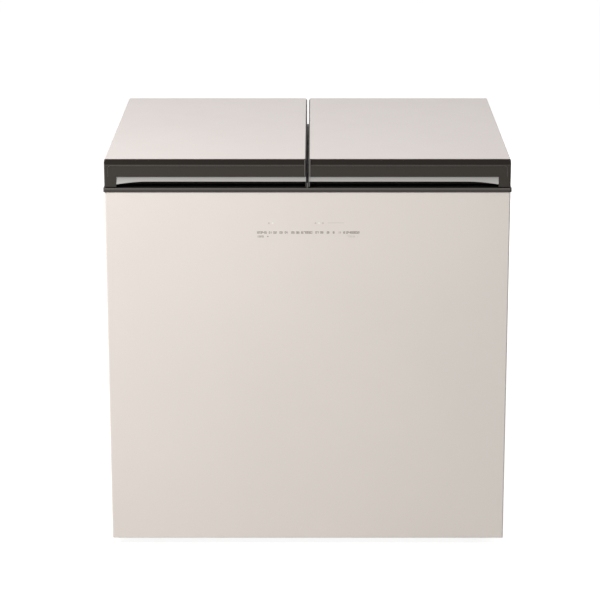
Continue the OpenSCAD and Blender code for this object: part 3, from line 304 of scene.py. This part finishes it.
front_paint = coated_sheet("front_paint", (0.787, 0.729, 0.679))
lid_paint = coated_sheet("lid_paint", (0.695, 0.631, 0.597))
body_paint = coated_sheet("body_paint", (0.74, 0.69, 0.645), 0.42)
rear_paint = coated_sheet("rear_paint", (0.52, 0.51, 0.49), 0.5)
shell_paint = coated_sheet("compressor_black", (0.022, 0.022, 0.024), 0.3)
zinc = zinc_sheet("zinc_sheet", (0.5, 0.51, 0.52))
lid_trim = trim("lid_trim")
rim_material = rim_trim("rim_trim")
strip_material = silver_strip("handle_silver")
foam_material = foam("foam")
green = board("control_board", "Z", CONTROL_PARTS)
display_green = board("display_board", "Y", DISPLAY_PARTS)

tube_metal = metal("aluminium_tube", (0.72, 0.73, 0.74), 0.35, drawn=(60, 60, 60))
copper = metal("copper", (0.78, 0.42, 0.26), 0.3, drawn=(60, 60, 60))
steel = metal("bright_steel", (0.66, 0.67, 0.68), 0.28)
hinge_steel = metal("hinge_steel", (0.42, 0.43, 0.44), 0.42, drawn=(200, 200, 40))
fins = metal("condenser_metal", (0.55, 0.56, 0.57), 0.45, drawn=(40, 40, 500))
motor = metal("motor_metal", (0.3, 0.31, 0.32), 0.45, drawn=(40, 400, 40))

black = moulded("black_plastic", (0.03, 0.032, 0.034), 0.5)
foot_plastic = moulded("foot_plastic", (0.03, 0.03, 0.03), 0.55)
roller_plastic = moulded("roller_plastic", (0.04, 0.04, 0.042), 0.45)
sensor_plastic = moulded("sensor_plastic", (0.55, 0.48, 0.3), 0.4)
rubber = moulded("rubber", (0.02, 0.02, 0.02), 0.75, grain=800.0, depth=0.00008)
gasket = moulded("gasket", (0.11, 0.11, 0.112), 0.6, grain=600.0, depth=0.00006, edge=0.0015)
liner = moulded("liner_white", (0.82, 0.83, 0.84), 0.3,
                grain=500.0, depth=0.00002, edge=0.002, specular=0.45, drift=0.012)
tub_plastic = moulded("tub_plastic", (0.7, 0.64, 0.56), 0.36,
                      grain=300.0, depth=0.00002, edge=0.001, specular=0.45, drift=0.02)
tub_lid_plastic = moulded("tub_lid_plastic", (0.36, 0.1, 0.08), 0.4,
                          grain=500.0, depth=0.00003, edge=0.0015, specular=0.4, drift=0.025)

NODE_MATERIALS = {
    front_paint: ["front_panel"],
    lid_paint: ["lid_panel_left", "lid_panel_right"],
    body_paint: ["side_panel_left", "side_panel_right"],
    rear_paint: ["back_panel", "machine_cover"],
    zinc: ["base_pan", "machine_room_plate", "roller_brackets"],
    lid_trim: ["lid_frame_left", "lid_frame_right"],
    rim_material: ["top_rim"],
    strip_material: ["handle_left", "handle_right"],
    liner: ["liner_left", "liner_right", "lid_liner_left", "lid_liner_right"],
    foam_material: ["insulation_foam", "lid_foam_left", "lid_foam_right"],
    tube_metal: ["evaporator_left", "evaporator_right"],
    shell_paint: ["compressor"],
    rubber: ["compressor_grommets", "cord_inlet"],
    steel: ["compressor_studs", "rear_screws", "roller_axles", "foot_bushes", "hinge_pins", "hinge_springs"],
    fins: ["condenser"],
    black: ["fan_shroud", "fan_blade", "control_box"],
    motor: ["fan_motor"],
    copper: ["filter_drier", "refrigerant_pipes"],
    green: ["control_board"],
    display_green: ["display_board"],
    sensor_plastic: ["temperature_sensors"],
    foot_plastic: ["foot_left", "foot_right"],
    roller_plastic: ["roller_left", "roller_right"],
    hinge_steel: ["hinge_brackets", "hinge_arms_left", "hinge_arms_right"],
    gasket: ["lid_gasket_left", "lid_gasket_right"],
    tub_plastic: ["tub_front_left", "tub_front_right", "tub_rear_left", "tub_rear_right"],
    tub_lid_plastic: ["tub_lid_front_left", "tub_lid_front_right", "tub_lid_rear_left", "tub_lid_rear_right"],
}
for material, names in NODE_MATERIALS.items():
    for name in names:
        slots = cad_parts[name].data.materials
        if len(slots) == 0:
            slots.append(material)
        for i in range(len(slots)):
            slots[i] = material


# ---- how pieces are built ----
DISC_SIDES, TURNED_SIDES, WIRE_SIDES = 20, 32, 8
CORNER_STEPS = 5       # flats to a rounded corner of a moulding
LEAST_RADIUS = 0.0006  # of such a corner, however far it is inset


def mesh_piece(name, build, material, body):
    """A mesh made by build(bm), riding on a body."""
    bm = bmesh.new()
    build(bm)
    bmesh.ops.recalc_face_normals(bm, faces=bm.faces)
    mesh = bpy.data.meshes.new(name)
    bm.to_mesh(mesh)
    bm.free()
    mesh.materials.append(material)
    piece = bpy.data.objects.new(name, mesh)
    scene.collection.objects.link(piece)
    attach(piece, body)


def circle(sides):
    """Points round a circle of radius one."""
    return [(math.cos(t), math.sin(t)) for t in (2 * math.pi * k / sides for k in range(sides))]


def quarter(x, y, radius, start, steps):
    """Points along a quarter of a circle about x, y, from the angle start on, in degrees."""
    angles = [math.radians(start + 90 * i / steps) for i in range(steps + 1)]
    return [(x + radius * math.cos(t), y + radius * math.sin(t)) for t in angles]


def rounded(x0, x1, y0, y1, radius):
    """Points round a rectangle with rounded corners, seen from above."""
    points = []
    for x, y, start in ((x1 - radius, y1 - radius, 0), (x0 + radius, y1 - radius, 90),
                        (x0 + radius, y0 + radius, 180), (x1 - radius, y0 + radius, 270)):
        points += quarter(x, y, radius, start, CORNER_STEPS)
    return points


def loft(bm, rings, closed=False):
    """Faces between rings of points, closed into a loop or capped at both ends."""
    rings = [[bm.verts.new(p) for p in ring] for ring in rings]
    for a, b in zip(rings, rings[1:] + (rings[:1] if closed else [])):
        for i in range(len(a)):
            j = (i + 1) % len(a)
            bm.faces.new((a[i], a[j], b[j], b[i]))
    if not closed:
        bm.faces.new(rings[0][::-1])
        bm.faces.new(rings[-1])


def plate(bm, x0, x1, z0, z1, y0, y1):
    """A thin upright plate."""
    loft(bm, [[(x0, y, z0), (x1, y, z0), (x1, y, z1), (x0, y, z1)] for y in (y0, y1)])


def disc(bm, x, z, radius, y0, y1):
    """A thin upright disc."""
    loft(bm, [[(x + radius * a, y, z + radius * b) for a, b in circle(DISC_SIDES)] for y in (y0, y1)])


def turned(bm, x, y, profile):
    """A round form about a vertical line: each profile point is a radius and a height."""
    loft(bm, [[(x + r * a, y + r * b, z) for a, b in circle(TURNED_SIDES)] for r, z in profile])


def moulding(bm, area, radius, profile, closed=False):
    """A raised form on a flat rectangle: each profile point is an inset and a height."""
    x0, x1, y0, y1 = area
    loft(bm, [[(x, y, z) for x, y in rounded(x0 + d, x1 - d, y0 + d, y1 - d, max(radius - d, LEAST_RADIUS))]
              for d, z in profile], closed)


def wire(points, radius):
    """A builder for a thin round wire through points that share one Y."""
    def build(bm):
        rings = []
        for i, point in enumerate(points):
            before, after = points[max(i - 1, 0)], points[min(i + 1, len(points) - 1)]
            along = (Vector(after) - Vector(before)).normalized()
            side = along.cross(Vector((0, 1, 0))).normalized()
            up = side.cross(along)
            rings.append([Vector(point) + radius * (a * side + b * up) for a, b in circle(WIRE_SIDES)])
        loft(bm, rings)
    return build


# ---- touch legends on the front panel ----
PRINT = (FRONT - 0.00012, FRONT + 0.0002)   # the faces of a printed mark

# Segments of a plain digit, each from corner to corner of a cell one wide and two high
SEGMENTS = {"a": (0, 2, 1, 2), "b": (1, 1, 1, 2), "c": (1, 0, 1, 1), "d": (0, 0, 1, 0),
            "e": (0, 0, 0, 1), "f": (0, 1, 0, 2), "g": (0, 1, 1, 1)}
DIGITS = {"0": "abcdef", "1": "bc", "2": "abged", "3": "abgcd", "4": "fgbc", "5": "afgcd",
          "6": "afgedc", "7": "abc", "8": "abcdefg", "9": "abcdfg"}
DIGIT_WIDTH, DIGIT_SPACE = 0.7, 0.3         # shares of the pitch from one digit to the next
HALF_STROKE = 0.09                          # share of the digit's height

# Rows of marks, by height. A number is its digits, its two ends from the middle, its row and its height.
ROW_DOTS, ROW_MARKS, ROW_SMALL = (PANEL[1].z - d for d in (0.0712, 0.0926, 0.1018))
SHORT_ENDS = ((-0.0860, -0.0808), (-0.0764, -0.0694), (-0.0622, -0.0564), (-0.0506, -0.0452),
              (-0.0360, -0.0296), (-0.0252, -0.0188), (0.0180, 0.0242), (0.0288, 0.0348),
              (0.0434, 0.0482), (0.0550, 0.0598), (0.0682, 0.0738), (0.0782, 0.0836))
NUMBERS = [("12345", -0.1158, -0.0920, ROW_MARKS, 0.0044), ("67890", -0.0135, 0.0100, ROW_MARKS, 0.0044),
           ("246802", 0.0866, 0.1156, ROW_MARKS, 0.0044)]
NUMBERS += [("%02d" % k, x0, x1, ROW_MARKS, 0.0040) for k, (x0, x1) in enumerate(SHORT_ENDS, 1)]
NUMBERS += [("135", -0.1156, -0.0985, ROW_SMALL, 0.0036)]
FAINT_NUMBER = ("7531", 0.0880, 0.1120, ROW_SMALL, 0.0030)

# Dots are x, row and radius; the bar is its two ends and its two edges
DOT = (-0.0888, ROW_SMALL, 0.0013)
FAINT_DOTS = [(x, ROW_DOTS, 0.0021) for x in (-0.0864, 0.0178, 0.0343)]
FAINT_BAR = (0.0451, 0.0813, ROW_DOTS + 0.0004, ROW_DOTS + 0.0012)
# Painted light: pale discs where the indicators show as bright white spots
LIT_SPOTS = [(x, ROW_DOTS, 0.0022) for x in (-0.0781, 0.0261)]


def number(bm, text, x0, x1, z, size):
    """A row of plain digits between x0 and x1, centred on z; size is the height of a digit."""
    pitch = (x1 - x0) / (len(text) - DIGIT_SPACE)
    w, h, t = pitch * DIGIT_WIDTH, size * 0.5, size * HALF_STROKE
    for k, digit in enumerate(text):
        left = x0 + k * pitch
        for name in DIGITS[digit]:
            ax, az, bx, bz = SEGMENTS[name]
            plate(bm, left + ax * w - t, left + bx * w + t, z - h + az * h - t, z - h + bz * h + t, *PRINT)


def legend(bm):
    """The darker touch marks: numbers and a dot."""
    for mark in NUMBERS:
        number(bm, *mark)
    disc(bm, *DOT, *PRINT)


def faint_legend(bm):
    """The paler marks: dots, a bar and a number."""
    for dot in FAINT_DOTS:
        disc(bm, *dot, *PRINT)
    plate(bm, *FAINT_BAR, *PRINT)
    number(bm, *FAINT_NUMBER)


def lights(bm):
    """Small pale discs at the indicator lights: painted light that stands for their bright spots."""
    for window in LIT_SPOTS:
        disc(bm, *window, *PRINT)


def flat_colour(name, colour, roughness):
    """A smooth flat colour: print, and the painted light of the indicators."""
    return moulded(name, colour, roughness, grain=900.0, depth=0.00001, edge=0.0)


mesh_piece("touch_legend", legend, flat_colour("legend_ink", (0.2, 0.17, 0.15), 0.5), "cabinet")
mesh_piece("touch_legend_faint", faint_legend, flat_colour("faint_ink", (0.6, 0.55, 0.51), 0.5),
           "cabinet")
mesh_piece("indicator_lit_spots", lights, flat_colour("painted_indicator_light", (0.86, 0.84, 0.82), 0.3),
           "cabinet")


# ---- beads on the front of each lid, and the guide between the lids ----
# Upright beads at a lid's inner end: how far inside it, their low and top ends, and their radius
FASCIA_END = (0.0034, FASCIA_LOW, BAND_LOW + 0.0112, 0.001)
STRIP_END = (0.0017, LEFT_GRIP[1].z - 0.0108, LEFT_GRIP[1].z - 0.0002, 0.0011)
END_OUT = 0.0003                       # they stand out of the lid frame's front by this

# The outline round a fascia
OUTLINE_OUTER, OUTLINE_INNER = RIGHT_LID[1].x - 0.0085, RIGHT_LID[0].x + 0.0035
OUTLINE_TOP, OUTLINE_LOW = BAND_LOW - 0.0022, FASCIA_LOW + 0.0004
OUTLINE_FRONT, OUTLINE_RADIUS = FRONT - 0.0017, 0.0004
OUTER_TURN, INNER_TURN = 0.006, 0.002  # radii of its two upper corners
OUTER_STEPS, INNER_STEPS = 6, 3        # straight parts to each of them

# The guide on the rim: its ends in depth, and its top, eased by this much inwards and down
GUIDE_HALF_WIDTH, GUIDE_CORNER = 0.002, 0.0014
GUIDE_FROM, GUIDE_TO = RIM[0].y + 0.003, RIM[0].y + 0.012
GUIDE_FOOT, GUIDE_TOP = RIM[1].z - 0.0004, RIM[1].z + 0.0108
EASE_IN, EASE_DOWN = 0.0006, 0.001


def upright(side, part, line, material):
    """A thin upright bead near a lid's inner edge, where it turns into the gap between the lids."""
    inset, low, top, radius = line
    x = (RIGHT_LID[0].x + inset) * SIDES[side]
    y = RIGHT_LID[0].y + radius - END_OUT
    mesh_piece(part + "_" + side, wire([(x, y, low), (x, y, top)], radius), material, "lid_" + side)


def fascia_outline(side, material):
    """A fine bead round the fascia, rounded at its upper corners."""
    path = [(OUTLINE_OUTER, OUTLINE_LOW)]
    path += quarter(OUTLINE_OUTER - OUTER_TURN, OUTLINE_TOP - OUTER_TURN, OUTER_TURN, 0, OUTER_STEPS)
    path += quarter(OUTLINE_INNER + INNER_TURN, OUTLINE_TOP - INNER_TURN, INNER_TURN, 90, INNER_STEPS)
    path += [(OUTLINE_INNER, OUTLINE_LOW)]
    points = [(SIDES[side] * x, OUTLINE_FRONT, z) for x, z in path]
    build = wire(points, OUTLINE_RADIUS)
    mesh_piece("fascia_bead_" + side, build, material, "lid_" + side)


def rim_guide(bm):
    """The small guide, paler than the rim, that stands on it in the gap between the lids."""
    moulding(bm, (-GUIDE_HALF_WIDTH, GUIDE_HALF_WIDTH, GUIDE_FROM, GUIDE_TO), GUIDE_CORNER,
             [(0, GUIDE_FOOT), (0, GUIDE_TOP - EASE_DOWN), (EASE_IN, GUIDE_TOP)])


# Painted highlight: these beads are lighter than the fascia, for the light caught by the rounded inner ends
# of the lids
end_highlight = moulded("fascia_end", (0.12, 0.113, 0.107), 0.35)
for side in SIDES:
    upright(side, "fascia_end", FASCIA_END, end_highlight)
    upright(side, "strip_end", STRIP_END, strip_material)
# Painted highlight: the bead is lighter than the fascia, for the light along the fascia's chamfered edge
outline_highlight = moulded("fascia_bead", (0.1, 0.094, 0.088), 0.35)
for side in SIDES:
    fascia_outline(side, outline_highlight)
mesh_piece("rim_guide", rim_guide, moulded("rim_guide", (0.1, 0.093, 0.087), 0.45), "cabinet")


# ---- container lids and lid plugs ----
SINK = 0.0003                               # how far a raised form reaches into the face below it
TUB_LID_CORNER, MIDDLE_CORNER, PLUG_CORNER = 0.024, 0.044, 0.055
RIM_BEAD_INSET, RIM_BEAD_RISE = 0.010, 0.0014
PLUG_BEAD_INSET, PLUG_BEAD_RISE = 0.035, -0.0018   # it stands downwards
MIDDLE = ((0.030, -SINK), (0.0312, 0.0009), (0.0335, 0.0013))   # inset and height
VENT_CAP = ((0.021, 0.001), (0.021, 0.0026), (0.0195, 0.0036), (0.0135, 0.0036), (0.0125, 0.0026),
            (0.006, 0.0026), (0.0052, 0.0034), (0.001, 0.0036))  # radius and height
RIB = ((0, -SINK), (0.0001, 0.0009), (0.0005, 0.0014))          # inset and height
RIB_INSET, RIB_PITCH = 0.0225, 0.0042
RIB_HALF_WIDTH, RIB_HALF_LENGTH, RIB_CORNER = 0.0013, 0.022, 0.0012
FLAT = 0.0005                               # corners this near the lowest one belong to the flat face

# A half-round bead: its width, and its section in shares of its width and its rise
BEAD_WIDTH = 0.005
BEAD = ((0, -0.2), (0.12, 0.55), (0.5, 1), (0.88, 0.55), (1, -0.2))


def raised(profile, z):
    """The same profile, its heights counted from z."""
    return [(d, z + height) for d, height in profile]


def bead_profile(inset, z, rise):
    """The profile of a bead that stands out of the face at z by rise."""
    return [(inset + across * BEAD_WIDTH, z + up * rise) for across, up in BEAD]


def container_lid_relief(node):
    """A rim bead, a raised middle, a round vent cap and two ribbed grips."""
    low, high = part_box(node)
    z = high.z
    area = (low.x, high.x, low.y, high.y)
    mx, my = (low.x + high.x) / 2, (low.y + high.y) / 2

    def build(bm):
        moulding(bm, area, TUB_LID_CORNER, bead_profile(RIM_BEAD_INSET, z, RIM_BEAD_RISE), closed=True)
        moulding(bm, area, MIDDLE_CORNER, raised(MIDDLE, z))
        turned(bm, mx, my, raised(VENT_CAP, z))
        for grip in (low.x + RIB_INSET, high.x - RIB_INSET):
            for x in (grip - RIB_PITCH, grip, grip + RIB_PITCH):
                rib = (x - RIB_HALF_WIDTH, x + RIB_HALF_WIDTH, my - RIB_HALF_LENGTH, my + RIB_HALF_LENGTH)
                moulding(bm, rib, RIB_CORNER, raised(RIB, z))
    return build


def plug_relief(node):
    """A bead round the flat underside of a lid's plug."""
    points = [v.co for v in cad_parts[node].data.vertices]
    z = min(p.z for p in points)
    flat = [p for p in points if p.z < z + FLAT]
    area = (min(p.x for p in flat), max(p.x for p in flat), min(p.y for p in flat), max(p.y for p in flat))
    profile = bead_profile(PLUG_BEAD_INSET, z, PLUG_BEAD_RISE)
    return lambda bm: moulding(bm, area, PLUG_CORNER, profile, closed=True)


for place in ("front_left", "front_right", "rear_left", "rear_right"):
    mesh_piece("tub_relief_" + place, container_lid_relief("tub_lid_" + place), tub_lid_plastic,
               "container_lid_" + place)
for side in SIDES:
    mesh_piece("plug_bead_" + side, plug_relief("lid_liner_" + side), liner, "lid_" + side)


# ---- screws on the back ----
WELD = 0.000001                             # corners nearer than this are one
CROSS_LONG, CROSS_SHORT = 0.0019, 0.0004    # half the length and half the width of a cross's arms
CROSS_IN, CROSS_OUT = 0.0004, 0.00008       # how far it reaches into the head, and out of it


def solid_boxes(node):
    """The low and high ends along X, Y and Z of each separate solid of a node, from its mesh."""
    bm = bmesh.new()
    bm.from_mesh(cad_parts[node].data)
    bmesh.ops.remove_doubles(bm, verts=bm.verts, dist=WELD)
    left, found = set(bm.verts), []
    while left:
        reach, group = [left.pop()], []
        while reach:
            vert = reach.pop()
            group.append(vert.co.copy())
            for edge in vert.link_edges:
                other = edge.other_vert(vert)
                if other in left:
                    left.remove(other)
                    reach.append(other)
        found.append([(min(p[i] for p in group), max(p[i] for p in group)) for i in range(3)])
    bm.free()
    return sorted(found)


def shaded_crosses(bm):
    """The cross in the head of each screw on the back: a black plate, painted shade that stands for the
    hollow of the recess.
    """
    for (x0, x1), (_, y1), (z0, z1) in solid_boxes("rear_screws"):
        x, z = (x0 + x1) / 2, (z0 + z1) / 2
        for a, b in ((CROSS_LONG, CROSS_SHORT), (CROSS_SHORT, CROSS_LONG)):
            plate(bm, x - a, x + a, z - b, z + b, y1 - CROSS_IN, y1 + CROSS_OUT)


mesh_piece("screw_recesses", shaded_crosses, black, "cabinet")


# ---- stage ----
FLOOR_REACH = 60
FLOOR_COLOUR, FLOOR_GLOW = (0.45, 0.44, 0.43, 1), 0.86
WORLD_LIGHT, WORLD_SEEN = 0.3, 1.0
AIM = Vector((0, 0, 0.5))                   # what both lamps point at
CAMERA_PLACE, CAMERA_TILT = (0.0113, -5.342, 1.993), 14.993   # degrees down from level


def ray_is(tree, *kinds):
    """A value of one for rays of these kinds, and of zero for the others."""
    rays = tree.nodes.new("ShaderNodeLightPath")
    value = rays.outputs[kinds[0]]
    for kind in kinds[1:]:
        either = add_node(tree, "ShaderNodeMath", sources={0: value, 1: rays.outputs[kind]})
        either.operation = "MAXIMUM"
        value = either.outputs[0]
    return value


def paper():
    """Pale matt paper, with a glow that is only seen, straight or mirrored."""
    material = bpy.data.materials.new("paper")
    material.use_nodes = True
    tree = material.node_tree
    surface = tree.nodes["Principled BSDF"]
    surface.inputs["Base Color"].default_value = FLOOR_COLOUR
    surface.inputs["Roughness"].default_value = 1.0
    surface.inputs["Specular IOR Level"].default_value = 0.0
    seen = ray_is(tree, "Is Camera Ray", "Is Glossy Ray")
    strength = add_node(tree, "ShaderNodeMath", {1: FLOOR_GLOW}, {0: seen})
    strength.operation = "MULTIPLY"
    glow = add_node(tree, "ShaderNodeEmission", sources={"Strength": strength.outputs[0]})
    both = add_node(tree, "ShaderNodeAddShader", sources={0: surface.outputs[0], 1: glow.outputs[0]})
    tree.links.new(both.outputs[0], tree.nodes["Material Output"].inputs["Surface"])
    return material


def floor():
    """A wide flat floor under the feet."""
    mesh = bpy.data.meshes.new("floor")
    corners = [(x * FLOOR_REACH, y * FLOOR_REACH, 0) for x, y in ((-1, -1), (1, -1), (1, 1), (-1, 1))]
    mesh.from_pydata(corners, [], [(0, 1, 2, 3)])
    mesh.materials.append(paper())
    ground = bpy.data.objects.new("floor", mesh)
    scene.collection.objects.link(ground)


def studio():
    """A world that gives a weak even light, and is white where it is seen."""
    world = bpy.data.worlds.new("studio")
    scene.world = world
    world.use_nodes = True
    tree = world.node_tree
    light = tree.nodes["Background"]
    light.inputs["Color"].default_value = (1, 1, 1, 1)
    light.inputs["Strength"].default_value = WORLD_LIGHT
    white = add_node(tree, "ShaderNodeBackground", {"Color": (1, 1, 1, 1), "Strength": WORLD_SEEN})
    seen = ray_is(tree, "Is Camera Ray", "Is Glossy Ray", "Is Transmission Ray")
    choose = add_node(tree, "ShaderNodeMixShader",
                      sources={0: seen, 1: light.outputs[0], 2: white.outputs[0]})
    tree.links.new(choose.outputs[0], tree.nodes["World Output"].inputs["Surface"])


def lamp(name, place, size, power):
    """A round soft lamp."""
    data = bpy.data.lights.new(name, "AREA")
    data.shape = "DISK"
    data.size = size
    data.energy = power
    obj = bpy.data.objects.new(name, data)
    obj.location = place
    obj.rotation_euler = (AIM - Vector(place)).to_track_quat("-Z", "Y").to_euler()
    scene.collection.objects.link(obj)
    return obj


def camera():
    """A long lens, in front of the object and above it, looking down."""
    data = bpy.data.cameras.new("camera")
    data.lens = 137.69
    data.sensor_width = 36
    data.shift_x = -0.021
    data.shift_y = -0.0498
    data.clip_end = 200
    obj = bpy.data.objects.new("camera", data)
    obj.location = CAMERA_PLACE
    obj.rotation_euler = (math.radians(90 - CAMERA_TILT), 0, 0)
    scene.collection.objects.link(obj)
    scene.camera = obj


floor()
studio()
lamp("key", (-2.45, -2.45, 3.2), size=1.4, power=183)
# The fill lights the back and the right side, and isn't mirrored in them
lamp("fill", (2.6, 3.4, 1.2), size=1.6, power=80).visible_glossy = False
camera()
scene.view_settings.view_transform = "Standard"

bpy.context.view_layer.update()
